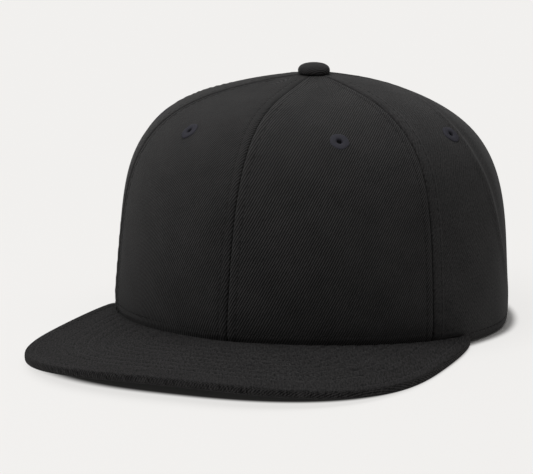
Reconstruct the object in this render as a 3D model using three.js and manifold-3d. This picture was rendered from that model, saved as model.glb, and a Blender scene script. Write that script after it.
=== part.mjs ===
// A six-panel snapback cap with a nearly flat visor, in millimetres with +Z up.
// It faces -Y, the wearer's left is +X, and it stands on its rim and on the visor's two sides.
// Angles go round the crown, in degrees, from the front centre (0) by the wearer's left (90) to the back (180).
// Shares go up the crown, from the level of the rim (0) to the apex (1).
import * as THREE from "three";
import { mergeVertices } from "three/addons/utils/BufferGeometryUtils.js";
import Module from "manifold-3d";

const wasm = await Module();
wasm.setup();

const { clamp, degToRad, lerp, radToDeg } = THREE.MathUtils;

// Clearance between pieces that are sewn or snapped together
const seamGap = 0.3;

// Crown
const crownHalfWidth = 91.1;
const crownFront = 101.8; // from the crown's middle to the front of the rim
const crownBack = 96; // from the crown's middle to the back of the rim
const crownHeight = 110.1;
const rimRoundness = 1.79; // 2 makes the rim an ellipse, less draws its corners in
const frontLift = 3.4; // how much higher the meridians start at the front
const apexBack = 1.1; // the apex lies this far behind the crown's middle
const rimTuck = 1.9; // how far the band draws the foot of the crown in
const tuckHeight = 16; // how far up that reaches
const clothWall = 2;
const topHoleRadius = 4; // the panels end here, under the button

// Meridians are cubic curves from the rim to the apex. Their two middle points, the low and the high one,
// lie at shares of the rim's reach and of the crown's height.
const meridians = {
  front: { lowReach: 0.944, lowRise: 0.982, highReach: 0.614, highRise: 0.938 },
  side: { lowReach: 0.901, lowRise: 0.511, highReach: 1.17, highRise: 0.919 },
  back: { lowReach: 1.02, lowRise: 0.418, highReach: 0.678, highRise: 0.979 },
};

// Seams between panels: their angle at the foot and at the apex
const seams = {
  front: { foot: 0, apex: 0 },
  frontSide: { foot: 58.3, apex: 61.5 },
  sideBack: { foot: 118.5, apex: 135 },
  back: { foot: 180, apex: 180 },
};
const panels = [
  { name: "panel_front", from: seams.front, to: seams.frontSide },
  { name: "panel_side", from: seams.frontSide, to: seams.sideBack },
  { name: "panel_back", from: seams.sideBack, to: seams.back },
];

// Eyelets, one in each panel
const eyeletRadius = 4.2;
const eyeletHole = 1.2; // radius of the hole
const eyeletProud = 0.5; // how far it stands out of the cloth on each side
const eyelets = [
  { name: "eyelet_front", angle: 34.6, share: 0.554 },
  { name: "eyelet_side", angle: 80, share: 0.65 },
  { name: "eyelet_back", angle: 153, share: 0.62 },
];

// Button
const buttonRadius = 7.3;
const buttonHeight = 4.9;
const buttonLip = 0.6; // the underside stops this far inside the edge

// Visor
const visorHalfWidth = 89.6;
const visorLength = 67.3; // past the front of the crown
const visorWidest = 76.6; // its widest place lies this far ahead of the crown's middle
const visorSquareness = 2.67; // of its front outline: 2 is an ellipse, more is squarer
const visorCorner = 69.2; // angle at which its rear corners meet the crown
const visorCornerWidth = 1; // the corners are this blunt
const visorThickness = 3.2;
const visorArch = 6.8; // rise of the middle over the sides

// Arch over the strap at the back
const archWidth = 76;
const archHeight = 46;
const archSpring = 0.3; // share of the height at which the curve of the arch starts

// Sweatband, inside the foot of the crown
const bandGap = 0.6; // from the panels, which leaves their facets clear
const bandThickness = 1.2;
const bandHeight = 32;
const bandLift = 1.5; // above the edge of the panels

// Plastic strap across the arch, with the overlapped strap end and its studs in one piece
const strapThickness = 1.3;
const strapHeight = 17;
const strapLift = 1.5;
const strapTab = 10; // length sewn inside the crown past each side of the arch
const overlapLength = 56;
const overlapThickness = 1.1;
const studCount = 7;
const studPitch = 7.5;
const studRadius = 1.9;
const studHeight = 0.9;

// Facets
const panelColumns = 9;
const panelRows = 15;
const panelRowEase = 1.4; // over 1 it sets the rows closer together at the foot
const visorColumns = 40;
const visorRows = 5;
const bandColumns = 54;
const strapColumns = 18;

const twill = { roughness: 0.95, metalness: 0 };
const materials = {
  panel_front: new THREE.MeshStandardMaterial({ color: 0x282727, ...twill }),
  panel_side: new THREE.MeshStandardMaterial({ color: 0x242323, ...twill }),
  panel_back: new THREE.MeshStandardMaterial({ color: 0x242323, ...twill }),
  visor: new THREE.MeshStandardMaterial({ color: 0x2a2929, ...twill }),
  button: new THREE.MeshStandardMaterial({ color: 0x282727, ...twill }),
  thread: new THREE.MeshStandardMaterial({ color: 0x26252b, roughness: 0.6, metalness: 0 }),
  sweatband: new THREE.MeshStandardMaterial({ color: 0x1e1e1f, roughness: 0.9, metalness: 0 }),
  plastic: new THREE.MeshStandardMaterial({ color: 0x161617, roughness: 0.45, metalness: 0 }),
};

// Crown surface

function signedPower(value, power) {
  return Math.sign(value) * Math.abs(value) ** power;
}

function rimPoint(angle) {
  const across = signedPower(Math.sin(degToRad(angle)), 2 / rimRoundness);
  const ahead = signedPower(Math.cos(degToRad(angle)), 2 / rimRoundness);
  return new THREE.Vector2(crownHalfWidth * across, -ahead * (ahead > 0 ? crownFront : crownBack));
}

function meridianAt(angle) {
  const cosine = Math.cos(degToRad(angle));
  const end = cosine > 0 ? meridians.front : meridians.back;
  const blend = (key) => lerp(meridians.side[key], end[key], cosine ** 2);
  return {
    lowReach: blend("lowReach"),
    lowRise: blend("lowRise"),
    highReach: blend("highReach"),
    highRise: blend("highRise"),
    base: frontLift * Math.max(0, cosine) ** 1.5,
  };
}

function crownPoint(angle, share) {
  const rim = rimPoint(angle);
  const line = meridianAt(angle);
  const left = 1 - share;
  const start = left ** 3;
  const low = 3 * left ** 2 * share;
  const high = 3 * left * share ** 2;
  const reach = start + low * line.lowReach + high * line.highReach;
  const rise = low * line.lowRise + high * line.highRise + share ** 3;
  const tuck = clamp(1 - (rise * crownHeight) / tuckHeight, 0, 1) ** 2;
  const drawn = 1 - (rimTuck / crownHalfWidth) * tuck;
  return new THREE.Vector3(
    rim.x * reach * drawn,
    (apexBack * (1 - reach) + rim.y * reach) * drawn,
    lerp(line.base, crownHeight, rise),
  );
}

function crownNormal(angle, share) {
  const angleStep = 0.05;
  const shareStep = 0.0005;
  const round = crownPoint(angle + angleStep, share).sub(crownPoint(angle - angleStep, share));
  const up = crownPoint(angle, share + shareStep).sub(crownPoint(angle, share - shareStep));
  return round.cross(up).normalize();
}

// A point a depth inside the outer face of the crown
function sunkPoint(angle, share, depth) {
  return crownPoint(angle, share).addScaledVector(crownNormal(angle, share), -depth);
}

// The underside of the visor, which the edge of the panels follows and which reaches the floor at its sides
function visorUnderside(x) {
  return visorArch * Math.max(0, 1 - (x / visorHalfWidth) ** 2);
}

function rimHeight(point) {
  return point.y < 0 ? visorUnderside(point.x) : 0;
}

// The share at which a line up the crown, sunk by a depth, is a height above the edge of the panels
function shareAt(angleOf, depth, height) {
  let below = -0.1;
  let above = 0.95;
  for (let step = 0; step < 40; step += 1) {
    const share = (below + above) / 2;
    const point = sunkPoint(angleOf(share), share, depth);
    if (point.z < rimHeight(point) + height) below = share;
    else above = share;
  }
  return above;
}

// The share at which a line up the crown comes within a distance of the axis through the apex
function shareNearApex(angleOf, depth, radius) {
  let below = 0.5;
  let above = 1;
  for (let step = 0; step < 40; step += 1) {
    const share = (below + above) / 2;
    const point = sunkPoint(angleOf(share), share, depth);
    if (Math.hypot(point.x, point.y - apexBack) > radius) below = share;
    else above = share;
  }
  return above;
}

// Solids

// A closed slab of facets: place(u, v, w) puts each corner, with u, v and w from 0 to 1
function slab(columns, rows, place) {
  const geometry = new THREE.BoxGeometry(1, 1, 1, columns, rows, 1);
  const position = geometry.attributes.position;
  for (let i = 0; i < position.count; i += 1) {
    const point = place(position.getX(i) + 0.5, position.getY(i) + 0.5, position.getZ(i) + 0.5);
    position.setXYZ(i, point.x, point.y, point.z);
  }
  return geometry;
}

function toSolid(geometry) {
  const bare = geometry.clone();
  bare.deleteAttribute("normal");
  bare.deleteAttribute("uv");
  const merged = mergeVertices(bare, 1e-4);
  return new wasm.Manifold(
    new wasm.Mesh({
      numProp: 3,
      vertProperties: new Float32Array(merged.attributes.position.array),
      triVerts: new Uint32Array(merged.index.array),
    }),
  );
}

function toGeometry(solid) {
  const mesh = solid.getMesh();
  const geometry = new THREE.BufferGeometry();
  geometry.setAttribute("position", new THREE.BufferAttribute(mesh.vertProperties, 3));
  geometry.setIndex(new THREE.BufferAttribute(mesh.triVerts, 1));
  geometry.computeVertexNormals();
  return geometry;
}

// Turns a shape made round Z so that Z points out of the crown, and sets it there
function setOnCrown(geometry, angle, share, depth) {
  const turn = new THREE.Quaternion().setFromUnitVectors(
    new THREE.Vector3(0, 0, 1),
    crownNormal(angle, share),
  );
  const place = sunkPoint(angle, share, depth);
  return geometry.applyQuaternion(turn).translate(place.x, place.y, place.z);
}

function panelGeometry(panel, mirror) {
  const seamAngle = (seam, share) => lerp(seam.foot, seam.apex, share);
  // Half a gap is kept to each seam, wherever the seam is
  const angleAt = (u, share) => {
    const from = seamAngle(panel.from, share);
    const to = seamAngle(panel.to, share);
    const middle = crownPoint((from + to) / 2, share);
    const inset = radToDeg(seamGap / 2 / Math.hypot(middle.x, middle.y - apexBack));
    return mirror * lerp(from + inset, to - inset, u);
  };
  return slab(panelColumns, panelRows, (u, v, w) => {
    const across = mirror > 0 ? u : 1 - u;
    const depth = clothWall * (1 - w);
    const angleOf = (share) => angleAt(across, share);
    const foot = shareAt(angleOf, depth, 0);
    const top = shareNearApex(angleOf, depth, topHoleRadius);
    const share = lerp(foot, top, v ** panelRowEase);
    const point = sunkPoint(angleOf(share), share, depth);
    if (v === 0) point.z = rimHeight(point);
    return point;
  });
}

function archCutter() {
  const half = archWidth / 2;
  const spring = archHeight * archSpring;
  const outline = new THREE.Shape();
  outline.moveTo(half, -archHeight);
  outline.lineTo(half, spring);
  outline.absellipse(0, spring, half, archHeight - spring, 0, Math.PI, false);
  outline.lineTo(-half, -archHeight);
  outline.closePath();
  const cutter = new THREE.ExtrudeGeometry(outline, { depth: crownBack, bevelEnabled: false, curveSegments: 14 });
  return cutter.rotateX(Math.PI / 2).translate(0, 1.5 * crownBack, 0);
}

function eyeletCutter(angle, share) {
  const radius = eyeletRadius + seamGap;
  const cutter = new THREE.CylinderGeometry(radius, radius, 4 * clothWall, 20).rotateX(Math.PI / 2);
  return setOnCrown(cutter, angle, share, clothWall / 2);
}

function eyeletGeometry(angle, share) {
  const halfWidth = (eyeletRadius - eyeletHole) / 2;
  const halfThickness = clothWall / 2 + eyeletProud;
  const section = new THREE.EllipseCurve(eyeletHole + halfWidth, 0, halfWidth, halfThickness);
  const ring = new THREE.LatheGeometry(section.getPoints(8), 20).rotateX(Math.PI / 2);
  return setOnCrown(ring, angle, share, clothWall / 2);
}

function buttonGeometry() {
  const dome = new THREE.EllipseCurve(0, buttonLip, buttonRadius, buttonHeight - buttonLip, 0, Math.PI / 2);
  const profile = [
    new THREE.Vector2(0, 0),
    new THREE.Vector2(buttonRadius - buttonLip, 0),
    ...dome.getPoints(8),
  ];
  profile[profile.length - 1].x = 0;
  return new THREE.LatheGeometry(profile, 28).rotateX(Math.PI / 2);
}

// The visor's outline from the middle of the front (0) to the rear corner (1), on the wearer's left
function visorEdge(share) {
  const frontStretch = 0.82;
  if (share < frontStretch) {
    const turn = ((Math.PI / 2) * share) / frontStretch;
    const power = 2 / visorSquareness;
    return new THREE.Vector2(
      visorHalfWidth * Math.sin(turn) ** power,
      -visorWidest - (crownFront + visorLength - visorWidest) * Math.cos(turn) ** power,
    );
  }
  const turn = ((Math.PI / 2) * (share - frontStretch)) / (1 - frontStretch);
  const corner = rimPoint(visorCorner);
  corner.x += visorCornerWidth;
  return new THREE.Vector2(
    lerp(corner.x, visorHalfWidth, Math.cos(turn)),
    lerp(-visorWidest, corner.y, Math.sin(turn)),
  );
}

function visorGeometry() {
  return slab(visorColumns, visorRows, (u, v, w) => {
    const side = 2 * u - 1;
    const angle = side * visorCorner;
    const inner = sunkPoint(angle, shareAt(() => angle, -seamGap, w * visorThickness), -seamGap);
    const outer = visorEdge(Math.abs(side));
    const x = lerp(Math.sign(side) * outer.x, inner.x, v);
    return new THREE.Vector3(x, lerp(outer.y, inner.y, v), visorUnderside(x) + w * visorThickness);
  });
}

// A band inside the crown between two angles, from one height to another above the edge of the panels
function bandGeometry({ from, to, bottom, top, outer, inner, columns, rows }) {
  return slab(columns, rows, (u, v, w) => {
    const angle = lerp(from, to, u);
    const depth = lerp(inner, outer, w);
    return sunkPoint(angle, shareAt(() => angle, depth, lerp(bottom, top, v)), depth);
  });
}

// The angle from the back centre to a distance across the back of the crown
function backAngle(distance) {
  const share = clamp(distance / crownHalfWidth, 0, 1) ** (rimRoundness / 2);
  return radToDeg(Math.asin(share));
}

const strapOuter = clothWall + bandGap;
const strapEnd = backAngle(archWidth / 2 + strapTab);

function sweatbandGeometry() {
  const end = 180 - strapEnd - backAngle(seamGap);
  return bandGeometry({
    from: -end,
    to: end,
    bottom: bandLift,
    top: bandLift + bandHeight,
    outer: clothWall + bandGap,
    inner: clothWall + bandGap + bandThickness,
    columns: bandColumns,
    rows: 3,
  });
}

function strapGeometry() {
  const middle = strapLift + strapHeight / 2;
  const base = bandGeometry({
    from: 180 - strapEnd,
    to: 180 + strapEnd,
    bottom: strapLift,
    top: strapLift + strapHeight,
    outer: strapOuter,
    inner: strapOuter + strapThickness,
    columns: strapColumns,
    rows: 2,
  });
  const overlapEnd = backAngle(overlapLength / 2);
  const overlap = bandGeometry({
    from: 180 - overlapEnd,
    to: 180 + overlapEnd,
    bottom: strapLift,
    top: strapLift + strapHeight,
    outer: strapOuter - overlapThickness,
    inner: strapOuter + strapThickness / 2,
    columns: strapColumns - 4,
    rows: 2,
  });
  let strap = toSolid(base).add(toSolid(overlap));
  for (let i = 0; i < studCount; i += 1) {
    const distance = (i - (studCount - 1) / 2) * studPitch;
    const angle = 180 - Math.sign(distance) * backAngle(Math.abs(distance));
    const depth = strapOuter - overlapThickness - studHeight / 2;
    const stud = new THREE.CylinderGeometry(0.8 * studRadius, studRadius, 2 * studHeight, 12);
    setOnCrown(stud.rotateX(Math.PI / 2), angle, shareAt(() => angle, depth, middle), depth);
    strap = strap.add(toSolid(stud));
  }
  return toGeometry(strap);
}

// Assembly

const cap = new THREE.Group();

function addPiece(name, geometry, material) {
  const mesh = new THREE.Mesh(geometry, material);
  mesh.name = name;
  cap.add(mesh);
  return mesh;
}

for (const [side, mirror] of [["left", 1], ["right", -1]]) {
  panels.forEach((panel, i) => {
    const { angle, share } = eyelets[i];
    let wall = toSolid(panelGeometry(panel, mirror)).subtract(toSolid(eyeletCutter(mirror * angle, share)));
    if (panel.to === seams.back) wall = wall.subtract(toSolid(archCutter()));
    addPiece(`${panel.name}_${side}`, toGeometry(wall), materials[panel.name]);
    addPiece(`${eyelets[i].name}_${side}`, eyeletGeometry(mirror * angle, share), materials.thread);
  });
}

const button = addPiece("button", buttonGeometry(), materials.button);
button.position.set(0, apexBack, crownHeight + seamGap);

addPiece("visor", visorGeometry(), materials.visor);
addPiece("sweatband", sweatbandGeometry(), materials.sweatband);
addPiece("snap_strap", strapGeometry(), materials.plastic);

// The origin is under the middle of the whole cap
const middle = new THREE.Box3().setFromObject(cap).getCenter(new THREE.Vector3());
cap.position.set(-middle.x, -middle.y, 0);

export default cap;
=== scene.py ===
import math
from functools import partialmethod

import bmesh
import bpy
import numpy as np
from mathutils import Matrix, Vector


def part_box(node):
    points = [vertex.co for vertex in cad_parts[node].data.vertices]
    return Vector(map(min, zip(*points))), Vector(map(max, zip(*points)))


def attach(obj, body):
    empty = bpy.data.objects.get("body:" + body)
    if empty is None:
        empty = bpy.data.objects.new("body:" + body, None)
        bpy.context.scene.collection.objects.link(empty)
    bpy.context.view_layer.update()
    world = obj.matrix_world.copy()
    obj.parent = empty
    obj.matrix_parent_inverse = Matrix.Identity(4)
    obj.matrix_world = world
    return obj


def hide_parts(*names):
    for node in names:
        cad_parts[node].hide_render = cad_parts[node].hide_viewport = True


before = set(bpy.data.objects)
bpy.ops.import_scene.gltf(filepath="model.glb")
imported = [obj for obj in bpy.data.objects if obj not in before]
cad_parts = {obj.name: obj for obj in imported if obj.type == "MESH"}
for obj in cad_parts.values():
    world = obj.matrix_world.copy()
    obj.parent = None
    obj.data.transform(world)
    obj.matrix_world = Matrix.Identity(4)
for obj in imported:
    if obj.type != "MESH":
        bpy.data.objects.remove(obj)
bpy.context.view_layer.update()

# A black six-panel cap with a flat visor. It faces -Y, the wearer's left is +X, and it stands on z = 0.
# Angles go round the crown in degrees, from the front (0) by the wearer's left (90) to the back (180).
# Shares go up the crown, from the level of the rim (0) to the apex (1).

mm = 0.001

crown = {
    "halfWidth": 91.1 * mm,
    "front": 101.8 * mm,
    "back": 96.0 * mm,
    "roundness": 1.79,
    "frontLift": 3.4 * mm,
    "apexBack": 1.1 * mm,
    "tuck": 1.9 * mm,
    "tuckHeight": 16 * mm,
    "wall": 2.0 * mm,
    "buttonGap": 0.3 * mm,
}
# low reach, low rise, high reach, high rise of each meridian
meridians = {
    "front": (0.944, 0.982, 0.614, 0.938),
    "side": (0.901, 0.511, 1.17, 0.919),
    "back": (1.02, 0.418, 0.678, 0.979),
}
crown["height"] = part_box("button")[0].z - crown["buttonGap"]
middleY = (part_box("button")[0].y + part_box("button")[1].y) / 2 - crown["apexBack"]  # the crown's middle

visor = {
    "halfWidth": 89.6 * mm,
    "length": 67.3 * mm,
    "widest": 76.6 * mm,
    "squareness": 2.67,
    "corner": 69.2,
    "cornerWidth": 1.0 * mm,
    "thickness": 3.2 * mm,
    "arch": 6.8 * mm,
}

# sums with points


def unit(vectors):
    return vectors / np.linalg.norm(vectors, axis=-1, keepdims=True)


def arcLength(points):
    # how far along the line each point lies
    return np.concatenate([[0], np.cumsum(np.linalg.norm(np.diff(points, axis=0), axis=1))])


def pointsAt(spots, arc, line):
    return np.stack([np.interp(spots, arc, line[:, k]) for k in range(line.shape[1])], -1)


def evenly(line, count):
    arc = arcLength(line)
    return pointsAt(np.linspace(0, arc[-1], count), arc, line)


def smoothStep(value):
    value = np.clip(value, 0, 1)
    return value * value * (3 - 2 * value)


def bell(distance, width):
    return np.exp(-((distance / width) ** 2))


# crown surface


def signedPower(value, power):
    return np.sign(value) * np.abs(value) ** power


def rimPoint(angle):
    across = signedPower(np.sin(np.radians(angle)), 2 / crown["roundness"])
    ahead = signedPower(np.cos(np.radians(angle)), 2 / crown["roundness"])
    reach = np.where(ahead > 0, crown["front"], crown["back"])
    return crown["halfWidth"] * across, -reach * ahead


def crownPoint(angle, share):
    angle, share = np.broadcast_arrays(np.asarray(angle, float), np.asarray(share, float))
    rimX, rimY = rimPoint(angle)
    cosine = np.cos(np.radians(angle))
    blend = []
    for front, side, back in zip(meridians["front"], meridians["side"], meridians["back"]):
        blend.append(side + (np.where(cosine > 0, front, back) - side) * cosine**2)
    left = 1 - share
    start, low, high = left**3, 3 * left**2 * share, 3 * left * share**2
    reach = start + low * blend[0] + high * blend[2]
    rise = low * blend[1] + high * blend[3] + share**3
    tuck = np.clip(1 - rise * crown["height"] / crown["tuckHeight"], 0, 1) ** 2
    drawn = 1 - crown["tuck"] / crown["halfWidth"] * tuck
    base = crown["frontLift"] * np.maximum(0, cosine) ** 1.5
    x = rimX * reach * drawn
    y = middleY + (crown["apexBack"] * (1 - reach) + rimY * reach) * drawn
    return np.stack([x, y, base + (crown["height"] - base) * rise], -1)


def crownNormal(angle, share):
    around = crownPoint(angle + 0.05, share) - crownPoint(angle - 0.05, share)
    upward = crownPoint(angle, share + 0.0005) - crownPoint(angle, share - 0.0005)
    return unit(np.cross(around, upward))


def sunkPoint(angle, share, depth):
    return crownPoint(angle, share) - crownNormal(angle, share) * np.asarray(depth)[..., None]


def visorUnderside(x):
    return visor["arch"] * np.maximum(0, 1 - (x / visor["halfWidth"]) ** 2)


def rimHeight(point):
    return np.where(point[..., 1] < middleY, visorUnderside(point[..., 0]), 0)


def shareAt(angleOf, depth, height):
    # share at which lines up the crown are a height above its edge
    height = np.asarray(height, float)
    below, above = np.full(height.shape, -0.1), np.full(height.shape, 0.95)
    for _ in range(30):
        share = (below + above) / 2
        point = sunkPoint(angleOf(share), share, depth)
        under = point[..., 2] < rimHeight(point) + height
        below, above = np.where(under, share, below), np.where(under, above, share)
    return above


# mesh helpers


def addObject(name, data):
    made = bpy.data.objects.new(name, data)
    bpy.context.collection.objects.link(made)
    return made


def faceOut(bm):
    bmesh.ops.recalc_face_normals(bm, faces=bm.faces)


def finishMesh(bm, name, material, smooth=True):
    mesh = bpy.data.meshes.new(name)
    bm.to_mesh(mesh)
    bm.free()
    piece = addObject(name, mesh)
    mesh.materials.append(material)
    if smooth:
        mesh.shade_smooth()
    return piece


def sheetGrid(bm, columns, rows):
    # a grid and its vertices as an array of rows by columns
    made = bmesh.ops.create_grid(bm, x_segments=columns, y_segments=rows, size=0.5)["verts"]
    order = sorted(made, key=lambda v: (round((v.co.y + 0.5) * rows), round((v.co.x + 0.5) * columns)))
    return np.array(order, dtype=object).reshape(rows + 1, columns + 1)


def place(verts, points):
    for vert, point in zip(verts.ravel(), points.reshape(-1, 3)):
        vert.co = point


def closedSlab(bm, outer, inner):
    # two grids of points joined round their edges, outer facing out
    rows, columns = outer.shape[0] - 1, outer.shape[1] - 1
    grids = []
    for points in (outer, inner):
        verts = sheetGrid(bm, columns, rows)
        place(verts, points)
        grids.append(verts)
    rim = [edge for edge in bm.edges if edge.is_boundary]
    bmesh.ops.bridge_loops(bm, edges=rim)
    faceOut(bm)
    return grids


def pushOut(bm, sheet, vec):
    # a flat face turned into a closed body, then faced outward
    made = bmesh.ops.extrude_face_region(bm, geom=[sheet])["geom"]
    bmesh.ops.translate(bm, vec=vec, verts=[g for g in made if isinstance(g, bmesh.types.BMVert)])
    faceOut(bm)


def addCone(bm, segments, low, high, depth, matrix):
    sizes = {"radius1": low, "radius2": high, "depth": depth}
    bmesh.ops.create_cone(bm, cap_ends=True, segments=segments, matrix=matrix, **sizes)


def writeUv(bm, values):
    # values: vertex to (u, v) in metres, written as the piece's cloth map
    layer = bm.loops.layers.uv.new("cloth")
    for face in bm.faces:
        for loop in face.loops:
            loop[layer].uv = values[loop.vert]


def slabUv(bm, grids, across, upward):
    # the same cloth map on both faces of a slab
    values = {}
    for verts in grids:
        values.update(zip(verts.ravel(), zip(across.ravel(), upward.ravel())))
    writeUv(bm, values)


def spinRound(bm, profile, closed, steps):
    # radii and heights turned about Z
    verts = [bm.verts.new((r, 0, z)) for r, z in profile]
    for a, b in zip(verts, verts[1:] + (verts[:1] if closed else [])):
        bm.edges.new((a, b))
    spun = {"geom": bm.edges[:], "angle": 2 * math.pi, "steps": steps, "use_merge": True}
    bmesh.ops.spin(bm, axis=(0, 0, 1), cent=(0, 0, 0), **spun)


def polar(vert):
    return math.atan2(vert.co.y, vert.co.x), math.hypot(vert.co.x, vert.co.y)


def cutAway(piece, cutter):
    cut = piece.modifiers.new("cut", "BOOLEAN")
    cut.operation, cut.solver, cut.object = "DIFFERENCE", "EXACT", cutter
    graph = bpy.context.evaluated_depsgraph_get()
    mesh = bpy.data.meshes.new_from_object(piece.evaluated_get(graph))
    piece.modifiers.clear()
    piece.data = mesh
    bpy.data.objects.remove(cutter)


# shader maths


class Wire:
    # a shader socket that takes part in Python sums

    def __init__(self, tree, socket=None):
        self.tree, self.socket = tree, socket

    def node(self, kind, settings=None, inputs=None, output=0):
        made = self.tree.nodes.new("ShaderNode" + kind)
        for key, value in (settings or {}).items():
            setattr(made, key, value)
        for key, value in (inputs or {}).items():
            if isinstance(value, Wire):
                self.tree.links.new(value.socket, made.inputs[key])
            else:
                made.inputs[key].default_value = value
        return Wire(self.tree, made.outputs[output])

    def sum(self, operation, *others):
        return self.node("Math", {"operation": operation}, dict(enumerate([self, *others])))

    __add__ = __radd__ = partialmethod(sum, "ADD")
    __mul__ = __rmul__ = partialmethod(sum, "MULTIPLY")
    __sub__ = partialmethod(sum, "SUBTRACT")
    __truediv__ = partialmethod(sum, "DIVIDE")
    __pow__ = partialmethod(sum, "POWER")

    def __rsub__(self, other):
        return self.node("Math", {"operation": "SUBTRACT"}, {0: other, 1: self})


def newMaterial(name, settings):
    material = bpy.data.materials.new(name)
    material.use_nodes = True
    shader = material.node_tree.nodes["Principled BSDF"]
    for key, value in settings.items():
        shader.inputs[key].default_value = value
    return material, shader, Wire(material.node_tree)


def feed(wire, shader, key):
    wire.tree.links.new(wire.socket, shader.inputs[key])


def splitXY(start, vector):
    x = start.node("SeparateXYZ", None, {0: vector})
    return x, Wire(start.tree, x.socket.node.outputs[1])


def noise(start, vector, scale, detail=2.0, rough=0.5):
    inputs = {"Vector": vector, "Scale": scale, "Detail": detail, "Roughness": rough}
    return start.node("TexNoise", None, inputs)


def wave(wire):
    # from 0 to 1 and back in each unit
    return (wire * (2 * math.pi)).sum("SINE") * 0.5 + 0.5


def bumpFrom(height, distance, shader, strength=1.0):
    inputs = {"Strength": strength, "Distance": distance, "Height": height}
    feed(height.node("Bump", None, inputs), shader, "Normal")


def scaled(colour, factor):
    return tuple(c * factor for c in colour[:3]) + (1,)


def blendColour(start, share, low, high):
    return start.node("MixRGB", {"blend_type": "MIX"}, {"Fac": share, "Color1": low, "Color2": high})


twillLook = {
    "ribPeriod": 1.04 * mm,
    "ribPower": 0.8,
    "floatLength": 3.1 * mm,
    "floatShift": 0.41,  # from one rib to the next
    "floatShare": 0.12,
    "bend": 0.8,  # how far the ribs wander, in ribs
    "wobble": 0.16,
    # the groove and rib colours paint the twill's relief: painted shade in the grooves and painted light on
    # the ribs, beside the real bump
    "groove": (0.0022, 0.0021, 0.0023, 1),
    "rib": (0.0325, 0.0314, 0.0315, 1),
    "middle": 0.38,  # where the tone lies between groove and rib
    "ribTone": 1.1,
    "fuzzTone": 0.55,
    "streakTone": 0.5,
    "bump": 0.2 * mm,
    "fuzzBump": 0.3,
    "sheen": 0.045,
    "specular": 0.2,
}
# scales of the cloth's unevenness, per metre: slow and quick bends of the ribs, fuzz, patches
uneven = {"bend": 45.0, "wobble": 300.0, "fuzz": 2400.0, "patch": 60.0}
# factors on the look above; slub is the direction of the uneven yarn and how fine it is along and across
plainTwill = dict.fromkeys(("scale", "lift", "bump", "contrast", "sheen", "grain", "wobble"), 1.0)
plainTwill["patchy"] = 0.85
# each piece's lift makes a lighter or darker copy of the same cloth to match how lit it looks: painted light
# and shade per panel, visor and button
rightTwill = {"angle": 66, "scale": 1.02, "lift": 0.92, "bump": 0.9, "contrast": 1.2, "grain": 1.8}
sideTwill = {"angle": 55, "scale": 1.15, "lift": 1.16, "bump": 0.25, "contrast": 0.2, "grain": 2.3}
visorTwill = {"angle": 62, "lift": 1.21, "bump": 0.6, "contrast": 0.55, "sheen": 0.35, "grain": 3.7}
twills = {
    "frontLeft": {"angle": 62, "lift": 0.98, "contrast": 1.25, "grain": 1.3},
    "frontRight": {**rightTwill, "wobble": 1.8},
    "side": {**sideTwill, "patchy": 0.5, "wobble": 3.0, "slub": (55, 800, 1500)},
    "back": {"angle": 50, "scale": 0.95, "lift": 1.06, "bump": 0.8, "contrast": 0.7, "grain": 1.5},
    "visor": {**visorTwill, "patchy": 0.3, "slub": (112, 290, 1450)},
    "button": {"angle": 40, "scale": 0.85, "lift": 1.12, "bump": 0.7, "contrast": 0.8},
    "band": {"angle": 20, "scale": 0.6, "lift": 0.7, "bump": 0.4},
}


def turned(u, v, degrees):
    # the cloth map along a direction and across it
    cosine, sine = math.cos(math.radians(degrees)), math.sin(math.radians(degrees))
    return u * cosine + v * sine, v * cosine - u * sine


def twillMaterial(name, own):
    # cotton twill: ribs at an angle in the cloth map, broken into short yarn floats
    look, own = twillLook, {**plainTwill, **own}
    settings = {"Roughness": 0.9, "Sheen Roughness": 0.5}
    settings["Sheen Weight"] = look["sheen"] * own["sheen"]
    settings["Specular IOR Level"] = look["specular"] * own["sheen"]
    material, shader, start = newMaterial(name, settings)
    cloth = start.node("UVMap", {"uv_map": "cloth"})
    u, v = splitXY(start, cloth)
    along, up = turned(u, v, own["angle"])
    bend = noise(start, cloth, uneven["bend"]) * look["bend"]
    bend = bend + noise(start, cloth, uneven["wobble"], 1.0) * (look["wobble"] * own["wobble"])
    across = up * (1 / (look["ribPeriod"] * own["scale"])) + bend
    rib = wave(across)
    row = across.sum("FLOOR")
    floats = wave(along * (1 / (look["floatLength"] * own["scale"])) + row * look["floatShift"])
    direction, fineAlong, fineAcross = own.get("slub", (own["angle"], 420, 1800))
    yarnAlong, yarnAcross = turned(u, v, direction)
    yarn = start.node("CombineXYZ", None, {0: yarnAlong * fineAlong, 1: yarnAcross * fineAcross})
    streak = noise(start, yarn, 1.0)
    fuzz = noise(start, cloth, uneven["fuzz"], 3.0, 0.6)
    patch = noise(start, cloth, uneven["patch"], 4.0, 0.62)
    ridge = rib ** look["ribPower"] * (1 - look["floatShare"] + floats * look["floatShare"])
    bumpFrom(ridge + fuzz * look["fuzzBump"], look["bump"] * own["bump"], shader)
    # the ridge part of this tone is painted shade in the grooves and painted light on the ribs; patch, fuzz
    # and streak are the cloth's own random tone
    shade = (ridge - 0.5) * (look["ribTone"] * own["contrast"]) + (patch - 0.5) * own["patchy"]
    shade = shade + (fuzz - 0.5) * (look["fuzzTone"] * own["grain"])
    shade = shade + (streak - 0.5) * (look["streakTone"] * own["grain"]) + look["middle"]
    shade = shade.sum("MINIMUM", 1.0).sum("MAXIMUM", 0.0)
    low, high = scaled(look["groove"], own["lift"]), scaled(look["rib"], own["lift"])
    feed(blendColour(start, shade, low, high), shader, "Base Color")
    return material


def threadMaterial(name, colour, scale):
    # dull thread with fine plies
    material, shader, start = newMaterial(name, {"Roughness": 0.75, "Specular IOR Level": 0.12})
    spot = start.node("TexCoord", None, None, 3)
    ply = noise(start, spot, scale, 2.0)
    bumpFrom(ply, 0.05 * mm, shader, 0.5)
    feed(blendColour(start, ply, scaled(colour, 0.6), scaled(colour, 1.4)), shader, "Base Color")
    return material


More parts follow.
